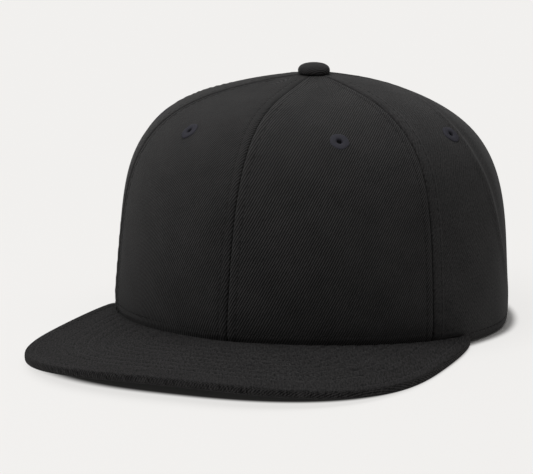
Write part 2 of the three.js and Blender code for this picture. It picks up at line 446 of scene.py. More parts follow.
# colour and fineness of the threads
threads = {
    "thread": ((0.0135, 0.0131, 0.0134), 3000.0),
    "visorThread": ((0.034, 0.0332, 0.0336), 3000.0),
    "eyelet": ((0.0275, 0.0272, 0.0345), 4200.0),
}
materials = {name: twillMaterial(name + "Twill", own) for name, own in twills.items()}
materials.update({name: threadMaterial(name + "Yarn", *look) for name, look in threads.items()})


def plasticMaterial():
    material, shader, start = newMaterial("strapPlastic", {"Roughness": 0.42, "Specular IOR Level": 0.45})
    spot = start.node("TexCoord", None, None, 3)
    grain = noise(start, spot, 1800.0, 3.0)
    wear = noise(start, spot, 90.0, 3.0)
    bumpFrom(grain, 0.03 * mm, shader, 0.35)
    feed(blendColour(start, wear, (0.008, 0.008, 0.0085, 1), (0.016, 0.016, 0.017, 1)), shader, "Base Color")
    feed(0.36 + wear * 0.16, shader, "Roughness")
    return material


materials["plastic"] = plasticMaterial()

# camera, as fitted to the photo

camera = {
    "azimuth": 21.937,
    "elevation": 11.994,
    "distance": 1445.4 * mm,
    "focalPixels": 3262.7,
    "imageWidth": 533,
    "aim": (0, -25 * mm, 55 * mm),  # from the crown's middle, then moved in the picture plane
    "right": -11.445 * mm,
    "down": 14.358 * mm,
    "sensorWidth": 36,
    "clip": (0.05, 20),
}


def makeCamera():
    data = bpy.data.cameras.new("camera")
    made = addObject("camera", data)
    a, e = math.radians(camera["azimuth"]), math.radians(camera["elevation"])
    back = Vector((math.sin(a) * math.cos(e), -math.cos(a) * math.cos(e), math.sin(e)))
    right = Vector((math.cos(a), math.sin(a), 0))
    up = back.cross(right)
    aim = Vector(camera["aim"]) + Vector((0, middleY, 0)) + right * camera["right"] - up * camera["down"]
    turn = Matrix((right, up, back)).transposed().to_4x4()
    made.matrix_world = Matrix.Translation(aim + back * camera["distance"]) @ turn
    data.sensor_width = camera["sensorWidth"]
    data.lens = camera["focalPixels"] * data.sensor_width / camera["imageWidth"]
    data.clip_start, data.clip_end = camera["clip"]
    bpy.context.scene.camera = made


makeCamera()

# floor and light

studio = {
    "tone": (0.883, 0.8714, 0.8566, 1),
    "paper": 0.9,
    "ownLight": 0.85,  # share of the floor's tone that no shadow reaches
    "farFrom": 0.22,  # from here to twice as far the floor turns to its plain tone
    # painted shadow where the cap keeps the light off: the visor's outline set back, and the crown's foot
    "visorShade": {"half": 89.0 * mm, "depth": 92.5 * mm, "back": 12.3 * mm, "soft": 0.085, "drift": 0.04},
    "crownShade": {"half": 93.0 * mm, "depth": 98.0 * mm, "back": 0.0, "soft": 0.05, "drift": 0.0},
    # how the visor's painted shadow draws forward at its sides, and the least softness of an edge
    "shadeEdge": {"draw": 0.6, "power": 4, "leastSoft": 0.03},
    # how far the painted shadow darkens the floor's colour and dims its glow
    "shadeOnPaper": 0.5,
    "shadeOnOwn": 0.988,
    "world": 0.31,
    "lamps": {
        "key": {"at": (-0.55, -0.75, 1.5), "size": 1.1, "power": 17.0},
        "top": {"at": (0.1, 0.25, 1.5), "size": 1.2, "power": 11.0},
        "rear": {"at": (-0.6, 1.2, 1.1), "size": 0.9, "power": 3.0},
    },
}


def footShade(x, y, look, power, middle):
    # mask of a painted shadow: 1 inside a rounded outline on the floor, 0 outside it
    edge = studio["shadeEdge"]
    wide = x.sum("ABSOLUTE") / look["half"]
    back = (1 - wide ** edge["power"] * edge["draw"]) * look["back"]
    inside = wide ** power + ((y - middle - back).sum("ABSOLUTE") / look["depth"]) ** power
    soft = (x * (-look["drift"] / look["half"]) + look["soft"]).sum("MAXIMUM", edge["leastSoft"])
    ends = {1: 1 - soft, 2: 1 + soft, 3: 1.0, 4: 0.0}
    return x.node("MapRange", {"interpolation_type": "SMOOTHSTEP"}, {0: inside, **ends})


def makeStudio():
    bm = bmesh.new()
    bmesh.ops.create_grid(bm, x_segments=1, y_segments=1, size=6)
    tint = scaled(studio["tone"], studio["paper"])
    material, shader, start = newMaterial("floorPaper", {"Roughness": 1.0, "Specular IOR Level": 0.0})
    spot = start.node("TexCoord", None, None, 3)
    x, y = splitXY(start, spot)
    # painted shadow under the visor and round the crown's foot: it darkens the floor's colour and dims its
    # glow
    shade = footShade(x, y, studio["visorShade"], visor["squareness"], middleY - visor["widest"])
    shade = shade.sum("MAXIMUM", footShade(x, y, studio["crownShade"], crown["roundness"], middleY))
    feed(blendColour(start, shade * studio["shadeOnPaper"], tint, (0, 0, 0, 1)), shader, "Base Color")
    away = start.node("VectorMath", {"operation": "LENGTH"}, {0: spot}, 1)
    ends = {1: studio["farFrom"], 2: 2 * studio["farFrom"], 3: studio["ownLight"], 4: 1.0}
    own = start.node("MapRange", {"interpolation_type": "SMOOTHSTEP"}, {0: away, **ends})
    tone = start.node("Emission", None, {"Color": studio["tone"], "Strength": 1.0})
    both = start.node("MixShader", None, {0: own * (1 - shade * studio["shadeOnOwn"]), 2: tone})
    start.tree.links.new(shader.outputs[0], both.socket.node.inputs[1])
    start.tree.links.new(both.socket, start.tree.nodes["Material Output"].inputs["Surface"])
    floor = finishMesh(bm, "floor", material, False)
    floor.visible_glossy = False
    world = bpy.data.worlds.new("studio")
    world.use_nodes = True
    tree = world.node_tree
    background = tree.nodes["Background"]
    seen = tree.nodes.new("ShaderNodeBackground")  # what the camera sees behind the floor
    for node, strength in ((background, studio["world"]), (seen, 1.0)):
        node.inputs["Color"].default_value = studio["tone"]
        node.inputs["Strength"].default_value = strength
    path = tree.nodes.new("ShaderNodeLightPath")
    mix = tree.nodes.new("ShaderNodeMixShader")
    tree.links.new(path.outputs["Is Camera Ray"], mix.inputs[0])
    tree.links.new(background.outputs[0], mix.inputs[1])
    tree.links.new(seen.outputs[0], mix.inputs[2])
    tree.links.new(mix.outputs[0], tree.nodes["World Output"].inputs["Surface"])
    bpy.context.scene.world = world
    for name, look in studio["lamps"].items():
        data = bpy.data.lights.new(name, "AREA")
        data.size, data.energy = look["size"], look["power"]
        lamp = addObject(name, data)
        lamp.location = look["at"]
        lamp.rotation_euler = (-Vector(look["at"])).to_track_quat("-Z", "Y").to_euler()
    bpy.context.scene.view_settings.view_transform = "Standard"


makeStudio()
print("camera, floor and light made")

# crown panels

seams = {
    "front": (0, 0),
    "frontSide": (58.3, 61.5),
    "sideBack": (118.5, 135),
    "back": (180, 180),
}
panelStyle = {
    "rows": 116,
    "middleColumns": 46,
    "rowEase": 1.45,
    # columns beside a seam in mm; a panel narrower than sideRoom times the last one draws them together
    "seamOffsets": [
        0, 0.2, 0.45, 0.75, 1.1, 1.6, 2.2, 2.9, 3.4, 3.8, 4.2, 4.6, 5.0, 5.4, 5.9, 6.6, 8.0, 10.0,
    ],
    "sideRoom": 2.6,
    "creaseDepth": 1.0 * mm,
    "creaseWidth": 0.5 * mm,
    "stitchDip": 0.16 * mm,
    "stitchWidth": 0.5 * mm,
    "stripSoft": 0.7 * mm,
    "topHole": 4 * mm,
    "rowTop": 0.93,
    "drawIn": 24 * mm,  # seams draw together where the panel is narrower than this
    "fadeIn": 14 * mm,
    "wave": 0.22 * mm,
}
pucker = {
    "height": 0.07 * mm,
    "length": 6.1 * mm,
    "width": 3.2 * mm,
    "from": 1.5 * mm,
    "sway": 1.7,
    "drift": 17 * mm,
}
# each panel's seams, the style beside each of them and its material
panels = {
    "panel_front_left": ("front", "frontSide", 1, "flat", "flat", "frontLeft"),
    "panel_front_right": ("front", "frontSide", -1, "flat", "flat", "frontRight"),
    "panel_side_left": ("frontSide", "sideBack", 1, "welt", "flat", "side"),
    "panel_side_right": ("frontSide", "sideBack", -1, "welt", "flat", "side"),
    "panel_back_left": ("sideBack", "back", 1, "flat", "flat", "back"),
    "panel_back_right": ("sideBack", "back", -1, "flat", "flat", "back"),
}
# distance of the stitch row from the seam, height of the cloth between them, and the edge of a raised strip
seamStyles = {
    "flat": {"row": 4.0 * mm, "rise": 0.16 * mm, "stripEnd": None},
    "welt": {"row": 4.3 * mm, "rise": 0.45 * mm, "stripEnd": 5.2 * mm},
}
hemStyle = {"row": 4.0 * mm, "dip": 0.2 * mm, "width": 0.6 * mm, "tuck": 1.1 * mm, "tuckHeight": 0.75 * mm}
hemStitches = {"dip": 0.16 * mm, "spans": [(-66, 66), (72, 148), (-148, -72)]}  # each row's angles
# a soft fold that packing leaves in the unstiffened side panels
foldStyle = {
    "shares": [0.1, 0.205, 0.258, 0.312, 0.383, 0.473, 0.555, 0.633, 0.693, 0.735, 0.785, 0.83],
    "angles": [101, 95.5, 91.8, 88.8, 86.5, 84.6, 83.4, 84.0, 85.6, 88.2, 95.5, 105],
    "perDegree": 1.45 * mm,
    "width": 2.1 * mm,
    "height": 0.8 * mm,
    "hollow": 4.5 * mm,
    "hollowShare": 0.55,
    "starts": (0.08, 0.12),  # the share where it starts or ends, and how softly
    "ends": (0.86, 0.1),
}
stitchStyle = {"pitch": 3.1 * mm, "length": 2.5 * mm, "radius": 0.21 * mm, "proud": -0.15}

shareTable = np.linspace(0, 0.995, 150)
fractionTable = np.linspace(0, 1, 61)


def panelTables(start, end):
    # angle at each share and fraction of the way across, and the width there
    angles = np.zeros((len(shareTable), len(fractionTable)))
    widths = np.zeros(len(shareTable))
    for i, share in enumerate(shareTable):
        sides = [foot + (apex - foot) * share for foot, apex in (seams[start], seams[end])]
        sweep = np.linspace(*sides, 81)
        arc = arcLength(crownPoint(sweep, share))
        widths[i] = arc[-1]
        angles[i] = np.interp(fractionTable * arc[-1], arc, sweep)
    return angles, widths


def lookUp(table, share, fraction):
    row = np.clip(share, 0, shareTable[-1]) / shareTable[-1] * (len(shareTable) - 1)
    column = np.clip(fraction, 0, 1) * (len(fractionTable) - 1)
    i = np.minimum(row.astype(int), len(shareTable) - 2)
    j = np.minimum(column.astype(int), len(fractionTable) - 2)
    a, b = row - i, column - j
    low = table[i, j] * (1 - b) + table[i, j + 1] * b
    high = table[i + 1, j] * (1 - b) + table[i + 1, j + 1] * b
    return low * (1 - a) + high * a


def seamRelief(distance, along, style):
    look, panel = seamStyles[style], panelStyle
    off = distance - look["row"]
    crease = -panel["creaseDepth"] * np.exp(-distance / panel["creaseWidth"])
    dip = -panel["stitchDip"] * bell(off, panel["stitchWidth"])
    if look["stripEnd"]:
        lift = look["rise"] * (1 - smoothStep((distance - look["stripEnd"]) / panel["stripSoft"] + 0.5))
    else:
        lift = look["rise"] * np.sin(np.pi * np.clip(distance / look["row"], 0, 1))
    sway = pucker["sway"] * np.sin(along / pucker["drift"])
    ripple = pucker["height"] * np.sin(2 * np.pi * along / pucker["length"] + sway)
    return crease + dip + lift + ripple * bell(off, pucker["width"]) * smoothStep(distance / pucker["from"])


def clothWaves(points):
    # slow unevenness of the panels, the same for any piece at the same place
    x, y, z = points[..., 0], points[..., 1], points[..., 2]
    slow = np.sin(61 * x + 23 * z + 1.3) * np.sin(47 * z - 31 * y + 0.4)
    slow = slow + 0.6 * np.sin(97 * y + 71 * z) * np.sin(83 * x - 29 * z + 2.1)
    return panelStyle["wave"] * slow


def foldRelief(angle, share):
    look = foldStyle
    off = (angle - np.interp(share, look["shares"], look["angles"])) * look["perDegree"]
    ridge = bell(off, look["width"]) - look["hollowShare"] * bell(off - look["hollow"], look["hollow"])
    (low, lowSoft), (high, highSoft) = look["starts"], look["ends"]
    ridge = ridge * smoothStep((share - low) / lowSoft) * smoothStep((high - share) / highSoft)
    return look["height"] * ridge


def panelSurface(name, share, fraction):
    # outer face of a panel with its relief: points, normals, distances from its two seams
    _, _, mirror, startStyle, endStyle, _ = panels[name]
    angles, widths = panelData[name]
    width = np.interp(share, shareTable, widths)
    angle = lookUp(angles, share, fraction)
    near = np.minimum(1, width / panelStyle["drawIn"])
    fromStart, fromEnd = fraction * width, (1 - fraction) * width
    points, normals = crownPoint(mirror * angle, share), crownNormal(mirror * angle, share)
    climb = np.interp(share, shareTable, climbTable)
    relief = seamRelief(fromStart / near, climb, startStyle) + seamRelief(fromEnd / near, climb, endStyle)
    onVisor = (points[..., 1] < middleY) & (np.abs(angle) < visor["corner"])
    height = points[..., 2] - rimHeight(points) - np.where(onVisor, visor["thickness"], 0)
    relief = relief - hemStyle["dip"] * bell(height - hemStyle["row"], hemStyle["width"])
    relief = relief - hemStyle["tuck"] * np.exp(-np.abs(height) / hemStyle["tuckHeight"])
    if "side" in name:
        relief = relief + foldRelief(angle, share)
    relief = relief * near * smoothStep(width / panelStyle["fadeIn"]) + clothWaves(points)
    return points + normals * relief[..., None], normals, fromStart, fromEnd


climbTable = arcLength(crownPoint(60.0, shareTable))  # up the crown near a seam
panelData = {name: panelTables(look[0], look[1]) for name, look in panels.items() if look[2] > 0}
panelData.update({name.replace("left", "right"): data for name, data in list(panelData.items())})

# the arch over the strap, whose curve starts at a share of its height, and the body that cuts it
arch = {"width": 76 * mm, "height": 46 * mm, "spring": 0.3}
archCut = {"below": 20 * mm, "from": 50 * mm, "through": 90 * mm}
eyelets = {
    "front": {"angle": 34.6, "share": 0.554},
    "side": {"angle": 80.0, "share": 0.65},
    "back": {"angle": 153.0, "share": 0.62},
}
eyeletStyle = {
    "threads": 32,
    "ridge": 0.11 * mm,
    "cut": 2.6 * mm,
    "cutDepth": 12 * mm,
    "cutSunk": 1 * mm,
    "twist": 500,
    "wander": 0.1 * mm,
    "wanderFrom": 3.5 * mm,
    # radius and height over the cloth in mm: outer rim, top, hole and the face inside
    "profile": [
        (4.3, -1.0), (4.3, -0.1), (4.15, 0.08), (3.7, 0.22), (3.1, 0.32), (2.4, 0.36), (1.8, 0.3),
        (1.4, 0.1), (1.2, -0.2), (1.15, -1.0), (1.2, -1.8), (1.5, -2.3), (2.2, -2.5), (3.2, -2.4),
        (4.1, -2.15),
    ],
}


def columnFractions(width):
    # columns keep their distance from the seams where the panel is wide enough
    offsets = np.array(panelStyle["seamOffsets"]) * mm
    scale = np.minimum(1, width / (panelStyle["sideRoom"] * offsets[-1]))
    left = offsets[None, :] * scale[:, None] / width[:, None]
    steps = np.linspace(0, 1, panelStyle["middleColumns"] + 1)[1:-1]
    middle = left[:, -1:] + (1 - 2 * left[:, -1:]) * steps[None, :]
    return np.concatenate([left, middle, 1 - left[:, ::-1]], 1)


def panelMesh(name):
    _, _, mirror, _, _, cloth = panels[name]
    angles, widths = panelData[name]
    columns = 2 * len(panelStyle["seamOffsets"]) + panelStyle["middleColumns"] - 1
    guess = np.linspace(0, 1, columns)
    foot = shareAt(lambda share: mirror * lookUp(angles, share, guess), 0.0, np.zeros(columns))
    top = np.full(columns, 0.955)
    for _ in range(25):  # the share where each column reaches the hole under the button
        point = crownPoint(mirror * lookUp(angles, top, guess), top)
        radius = np.hypot(point[:, 0], point[:, 1] - middleY - crown["apexBack"])
        top = np.clip(1 - (1 - top) * panelStyle["topHole"] / radius, 0.5, 0.994)
    ease = np.linspace(0, 1, panelStyle["rows"] + 1) ** panelStyle["rowEase"]
    shares = foot[None, :] + (top - foot)[None, :] * ease[:, None]
    width = np.interp(shares.mean(1), shareTable, widths)
    fractions = columnFractions(width)
    outer, normals, fromStart, fromEnd = panelSurface(name, shares, fractions)
    smooth = crownPoint(mirror * lookUp(angles, shares, fractions), shares)
    inner = smooth - normals * crown["wall"]
    inner[0, :, 2] = rimHeight(inner[0])
    # the cloth map runs in metres from the panel's middle line and up its middle
    across = mirror * (fromStart - fromEnd) / 2
    climb = np.cumsum(np.linalg.norm(np.diff(smooth, axis=0), axis=2), 0)
    upward = np.concatenate([np.zeros((1, columns)), climb]) + smooth[0, :, 2]
    if mirror < 0:
        outer, inner, across, upward = (grid[:, ::-1] for grid in (outer, inner, across, upward))
    bm = bmesh.new()
    slabUv(bm, closedSlab(bm, outer, inner), across, upward)
    return finishMesh(bm, "cap_" + name, materials[cloth])


def archCutter():
    bm = bmesh.new()
    half, spring = arch["width"] / 2, arch["height"] * arch["spring"]
    outline = [(half, -archCut["below"]), (half, spring / 2)]
    for turn in np.linspace(0, math.pi, 41):
        outline.append((half * math.cos(turn), spring + (arch["height"] - spring) * math.sin(turn)))
    outline += [(-half, spring / 2), (-half, -archCut["below"])]
    face = bm.faces.new([bm.verts.new((x, middleY + archCut["from"], z)) for x, z in outline])
    pushOut(bm, face, (0, archCut["through"], 0))
    return finishMesh(bm, "archCutter", materials["back"], False)


def crownFrame(angle, share, depth):
    # a matrix whose Z points out of the crown and whose Y goes up it
    normal = Vector(crownNormal(np.array(angle), np.array(share)))
    up = Vector(crownPoint(angle, share + 0.002) - crownPoint(angle, share - 0.002)).normalized()
    right = up.cross(normal).normalized()
    up = normal.cross(right)
    turn = Matrix((right, up, normal)).transposed().to_4x4()
    spot = Vector(sunkPoint(np.array(angle), np.array(share), np.array(depth)))
    return Matrix.Translation(spot) @ turn


def holeCutter(angle, share):
    look = eyeletStyle
    bm = bmesh.new()
    spot = crownFrame(angle, share, look["cutSunk"])
    addCone(bm, 32, look["cut"], look["cut"], look["cutDepth"], spot)
    return finishMesh(bm, "holeCutter", materials["back"], False)


def makePanels():
    for name, (_, _, mirror, _, _, _) in panels.items():
        piece = panelMesh(name)
        spot = eyelets[name.split("_")[1]]
        cutAway(piece, holeCutter(mirror * spot["angle"], spot["share"]))
        if "back" in name:
            cutAway(piece, archCutter())
        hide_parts(name)
        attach(piece, "root")


makePanels()
print("crown panels made")

# stitches: one template, copied along rows


def stitchTemplate():
    bm = bmesh.new()
    bmesh.ops.create_uvsphere(bm, u_segments=6, v_segments=5, radius=1)
    bmesh.ops.rotate(bm, matrix=Matrix.Rotation(math.pi / 2, 3, "Y"), verts=bm.verts)
    bm.verts.index_update()
    verts = np.array([v.co[:] for v in bm.verts])
    faces = [[v.index for v in f.verts] for f in bm.faces]
    bm.free()
    return verts, faces


stitchVerts, stitchFaces = stitchTemplate()


def resample(points, normals, pitch):
    # the middle, normal and direction of each stitch along a line
    arc = arcLength(points)
    count = max(1, int(arc[-1] / pitch))
    spots = (np.arange(count) + 0.5) * arc[-1] / count
    reach = 0.4 * pitch
    ahead = pointsAt(spots + reach, arc, points) - pointsAt(spots - reach, arc, points)
    return pointsAt(spots, arc, points), unit(pointsAt(spots, arc, normals)), unit(ahead)


def stitchRows(name, rows, thread="thread"):
    look = stitchStyle
    verts, faces = [], []
    for points, normals in rows:
        if len(points) < 3:
            continue
        middle, normal, ahead = resample(points, normals, look["pitch"])
        side = np.cross(normal, ahead)
        for m, n, a, s in zip(middle, normal, ahead, side):
            base = len(verts) * len(stitchVerts)
            body = m + n * look["radius"] * look["proud"]
            shape = stitchVerts * [look["length"] / 2, look["radius"], look["radius"]]
            verts.append(body + shape[:, :1] * a + shape[:, 1:2] * s + shape[:, 2:] * n)
            faces += [[base + k for k in face] for face in stitchFaces]
    mesh = bpy.data.meshes.new(name)
    mesh.from_pydata(np.concatenate(verts).tolist(), [], faces)
    mesh.shade_smooth()
    piece = addObject(name, mesh)
    mesh.materials.append(materials[thread])
    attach(piece, "root")


def insideArch(points):
    half, spring = arch["width"] / 2, arch["height"] * arch["spring"]
    x, z = np.abs(points[:, 0]), points[:, 2]
    edge = spring + (arch["height"] - spring) * np.sqrt(np.maximum(0, 1 - (x / half) ** 2))
    return (points[:, 1] > middleY) & (x < half) & (z < edge)


def panelRow(name, distance, fromStart):
    # points along a line at a distance from one of the panel's seams
    _, widths = panelData[name]
    share = np.linspace(0, panelStyle["rowTop"], 240)
    width = np.interp(share, shareTable, widths)
    near = np.minimum(1, width / panelStyle["drawIn"])
    fraction = distance * near / width
    if not fromStart:
        fraction = 1 - fraction
    points, normals, _, _ = panelSurface(name, share, fraction)
    keep = points[:, 2] > rimHeight(points) + 1 * mm
    keep &= ~insideArch(points + [0, 0, -3 * mm])
    return points[keep], normals[keep]


def makeCrownStitches():
    rows = []
    for name, (_, _, _, startStyle, endStyle, _) in panels.items():
        rows.append(panelRow(name, seamStyles[startStyle]["row"], True))
        rows.append(panelRow(name, seamStyles[endStyle]["row"], False))
    stitchRows("cap_crown_stitches", rows)


def hemRow(fromAngle, toAngle):
    # the row over the visor, or over the edge where there is no visor
    angle = np.linspace(fromAngle, toAngle, 500)
    height = np.where(np.abs(angle) < visor["corner"], visor["thickness"], 0) + hemStyle["row"]
    share = shareAt(lambda s: angle, 0.0, height)
    points, normals = crownPoint(angle, share), crownNormal(angle, share)
    return points + normals * (clothWaves(points) - hemStitches["dip"])[:, None], normals


def backAngle(distance):
    share = np.clip(np.asarray(distance) / crown["halfWidth"], 0, 1) ** (crown["roundness"] / 2)
    return np.degrees(np.arcsin(share))


def archRow():
    # round the arch of the back panels, as far from its edge as the hem's row from the rim
    half, spring = arch["width"] / 2, arch["height"] * arch["spring"]
    turn = np.linspace(0, np.pi, 200)
    x = (half + hemStyle["row"]) * np.cos(turn)
    z = spring + (arch["height"] + hemStyle["row"] - spring) * np.sin(turn)
    leg = np.linspace(2 * mm, spring, 12)[:-1]
    x = np.concatenate([np.full(len(leg), x[0]), x, np.full(len(leg), x[-1])])
    z = np.concatenate([leg, z, leg[::-1]])
    trial = np.abs(x)
    for _ in range(12):  # the crown draws in with height, so the angle is found by trial
        angle = 180 - np.sign(x) * backAngle(trial)
        share = shareAt(lambda s: angle, 0.0, z)
        trial = trial * np.abs(x) / np.maximum(np.abs(crownPoint(angle, share)[:, 0]), 1e-5)
    points, normals = crownPoint(angle, share), crownNormal(angle, share)
    return points + normals * clothWaves(points)[:, None], normals


makeCrownStitches()
print("crown stitches made")

# visor


def visorEdge(count):
    # outline from the wearer's right rear corner by the front to the left one
    share = np.linspace(0, 1, count)
    power = 2 / visor["squareness"]
    turn = share * math.pi / 2
    frontY = -(crown["front"] + visor["length"])
    x = visor["halfWidth"] * np.sin(turn) ** power
    y = -visor["widest"] + (frontY + visor["widest"]) * np.cos(turn) ** power
    cornerX, cornerY = rimPoint(np.array(visor["corner"]))
    cornerX = cornerX + visor["cornerWidth"]
    rear = np.linspace(0, math.pi / 2, count // 3)[1:]
    x = np.concatenate([x, cornerX + (visor["halfWidth"] - cornerX) * np.cos(rear)])
    y = np.concatenate([y, -visor["widest"] + (cornerY + visor["widest"]) * np.sin(rear)])
    x, y = np.concatenate([-x[::-1], x[1:]]), np.concatenate([y[::-1], y[1:]])
    return np.stack([x, y + middleY], -1)


visorStyle = {
    "columns": 190,
    "topRows": 104,
    "underRows": 46,
    "edgeRows": 11,
    "rowCount": 8,
    "firstRow": 16 * mm,
    "rowPitch": 5.6 * mm,
    "groove": 0.3 * mm,
    "grooveWidth": 0.8 * mm,
    "edgeRow": 4.6 * mm,
    "edgeRise": 0.4 * mm,
    "edgeSquare": 0.62,
    "edgeSoft": 1.2 * mm,
    "edgeDip": 0.25 * mm,
    "edgeDipWidth": 0.6 * mm,
    "underShare": 0.6,  # how much of the relief its underside shows
    "underTo": 0.97,
    "clothOver": 1.7,
    "cornerEase": 60,
    "clearOfCrown": 1.5 * mm,
}
visorLines = [visorStyle["firstRow"] + k * visorStyle["rowPitch"] for k in range(visorStyle["rowCount"])]
visorOutline = evenly(visorEdge(400), 900)


def inwardOf(line):
    tangent = np.gradient(line, axis=0)
    return unit(np.stack([-tangent[:, 1], tangent[:, 0]], -1))


def edgeDistance(points):
    flat = points.reshape(-1, 2)
    best = np.full(len(flat), 1e9)
    for chunk in np.array_split(visorOutline, 30):
        gap = np.linalg.norm(flat[:, None, :] - chunk[None], axis=2).min(1)
        best = np.minimum(best, gap)
    return best.reshape(points.shape[:-1])


def visorRelief(distance):
    look = visorStyle
    off = distance - look["edgeRow"]
    relief = look["edgeRise"] * (1 - smoothStep(off / look["edgeSoft"] + 0.5))
    relief = relief - look["edgeDip"] * bell(off, look["edgeDipWidth"])
    for line in visorLines:
        relief = relief - look["groove"] * bell(distance - line, look["grooveWidth"])
    return relief


def visorTop(plan):
    # points on the visor's upper face
    z = visorUnderside(plan[..., 0]) + visor["thickness"] + visorRelief(edgeDistance(plan))
    return np.concatenate([plan, z[..., None]], -1)


def visorMesh():
    look = visorStyle
    columns = look["columns"]
    edge = evenly(visorOutline, columns + 1)
    side = np.linspace(-1, 1, columns + 1)
    angle = side * visor["corner"]
    inward = inwardOf(edge)
    half = visor["thickness"] / 2
    seat = []
    sunk = np.full(columns + 1, -0.1 * mm)  # just outside the crown
    for lift in (visor["thickness"], 0.0):
        share = shareAt(lambda s: angle, sunk, np.full(columns + 1, lift))
        seat.append(sunkPoint(angle, share, sunk)[:, :2])
    loops, maps = [], []
    inset = edge + inward * half * np.minimum(1, (1 - np.abs(side))[:, None] * look["cornerEase"])
    for t in np.linspace(0, 1, look["topRows"]):
        plan = seat[0] * (1 - t) + inset * t
        loops.append(visorTop(plan))
        maps.append(plan)
    topZ = loops[-1][:, 2]
    bottomZ = visorUnderside(edge[:, 0])
    for turn in np.linspace(0, math.pi, look["edgeRows"] + 2)[1:-1]:
        plan = inset + (edge - inset) * math.sin(turn) ** look["edgeSquare"]
        rise = math.copysign(abs(math.cos(turn)) ** look["edgeSquare"], math.cos(turn))
        z = bottomZ + (topZ - bottomZ) * (0.5 + 0.5 * rise)
        loops.append(np.concatenate([plan, z[:, None]], 1))
        maps.append(inset - inward * half * look["clothOver"] * turn)  # the cloth runs on over the edge
    for t in np.linspace(1, 0, look["underRows"]):
        plan = seat[1] * (1 - t) + inset * t
        groove = look["underShare"] * (visorRelief(edgeDistance(plan)) - look["edgeRise"])
        z = visorUnderside(plan[:, 0]) - groove * (t < look["underTo"])
        loops.append(np.concatenate([plan, z[:, None]], 1))
        maps.append(plan)
    loops.append(loops[0])
    maps.append(maps[0])
    bm = bmesh.new()
    verts = sheetGrid(bm, columns, len(loops) - 1)
    place(verts, np.array(loops)[::-1])
    spots = np.array(maps)[::-1].reshape(-1, 2)
    values = {vert: tuple(spot) for vert, spot in zip(verts.ravel(), spots)}
    bmesh.ops.remove_doubles(bm, verts=bm.verts, dist=1e-6)
    bmesh.ops.holes_fill(bm, edges=[e for e in bm.edges if e.is_boundary], sides=0)
    faceOut(bm)
    writeUv(bm, {vert: values[vert] for vert in bm.verts})
    piece = finishMesh(bm, "cap_visor", materials["visor"])
    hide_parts("visor")
    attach(piece, "root")


def visorRow(distance):
    # an offset of the outline, kept where it is clear of the crown
    line = visorOutline + inwardOf(visorOutline) * distance
    line = line[edgeDistance(line) > distance - 0.3 * mm]
    angle = np.degrees(np.arctan2(line[:, 0], -(line[:, 1] - middleY)))
    # the rim in that direction
    sweep = np.linspace(-90, 90, 361)
    rimX, rimY = rimPoint(sweep)
    bearing = np.degrees(np.arctan2(rimX, -rimY))
    reach = np.interp(angle, bearing, np.hypot(rimX, rimY))
    return line[np.hypot(line[:, 0], line[:, 1] - middleY) > reach + visorStyle["clearOfCrown"]]


def makeVisorStitches():
    rows = []
    for distance in visorLines + [visorStyle["edgeRow"]]:
        line = visorRow(distance)
        gaps = np.flatnonzero(np.linalg.norm(np.diff(line, axis=0), axis=1) > 6 * mm)
        for part in np.split(line, gaps + 1):
            if len(part) > 4:
                slope = -2 * visor["arch"] * part[:, 0] / visor["halfWidth"] ** 2
                normals = np.stack([-slope, np.zeros(len(part)), np.ones(len(part))], -1)
                rows.append((visorTop(part), unit(normals)))
    stitchRows("cap_visor_stitches", rows, "visorThread")


visorMesh()
makeVisorStitches()
hemRows = [hemRow(*span) for span in hemStitches["spans"]]
stitchRows("cap_hem_stitches", hemRows + [archRow()])
print("visor made")

# eyelets


def makeEyelet(name, angle, share):
    look = eyeletStyle
    bm = bmesh.new()
    spinRound(bm, [(r * mm, z * mm) for r, z in look["profile"]], True, look["threads"] * 4)
    for vert in bm.verts:
        turn, radius = polar(vert)
        swell = look["ridge"] * (abs(math.sin(turn * look["threads"] / 2 + radius * look["twist"])) - 0.6)
        wander = look["wander"] * math.sin(5 * turn + angle) * (radius > look["wanderFrom"])
        rise = swell if vert.co.z > -1 * mm else -swell
        vert.co += Vector((math.cos(turn) * wander, math.sin(turn) * wander, rise))
    faceOut(bm)
    bmesh.ops.transform(bm, matrix=crownFrame(angle, share, 0.0), verts=bm.verts)
    piece = finishMesh(bm, "cap_" + name, materials["eyelet"])
    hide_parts(name)
    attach(piece, "root")


for part, spot in eyelets.items():
    for side, mirror in (("left", 1), ("right", -1)):
        makeEyelet(f"eyelet_{part}_{side}", mirror * spot["angle"], spot["share"])
print("eyelets made")

# button

buttonStyle = {
    "radius": 7.3 * mm,
    "height": 5.2 * mm,
    "sunk": 0.5 * mm,
    "pleats": 8,
    "pleat": 0.12 * mm,
    # shares of the radius and of the height, from below over the rim to the top
    "profile": [
        (0.0, 0.35), (0.55, 0.3), (0.85, 0.12), (0.96, 0.1), (1.0, 0.28), (0.985, 0.45), (0.93, 0.62),
        (0.8, 0.79), (0.6, 0.915), (0.35, 0.98), (0.0, 1.0),
    ],
}


def makeButton():
    look = buttonStyle
    bm = bmesh.new()
    spinRound(bm, [(look["radius"] * r, look["height"] * h) for r, h in look["profile"]], False, 64)
    bmesh.ops.remove_doubles(bm, verts=bm.verts, dist=1e-6)
    for vert in bm.verts:
        turn, radius = polar(vert)
        fold = look["pleat"] * math.cos(look["pleats"] * turn + 0.6 * math.sin(3 * turn))
        fold = fold * (radius / look["radius"]) ** 3
        vert.co += Vector((math.cos(turn), math.sin(turn), 0.4)) * fold
    faceOut(bm)
    seat = (0, middleY + crown["apexBack"], crown["height"] - look["sunk"])
    bmesh.ops.translate(bm, vec=seat, verts=bm.verts)
    writeUv(bm, {v: (v.co.x, v.co.y - middleY + v.co.z) for v in bm.verts})
    piece = finishMesh(bm, "cap_button", materials["button"])
    smooth = piece.modifiers.new("round", "SUBSURF")
    smooth.levels = smooth.render_levels = 1
    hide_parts("button")
    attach(piece, "root")


makeButton()

# sweatband and strap

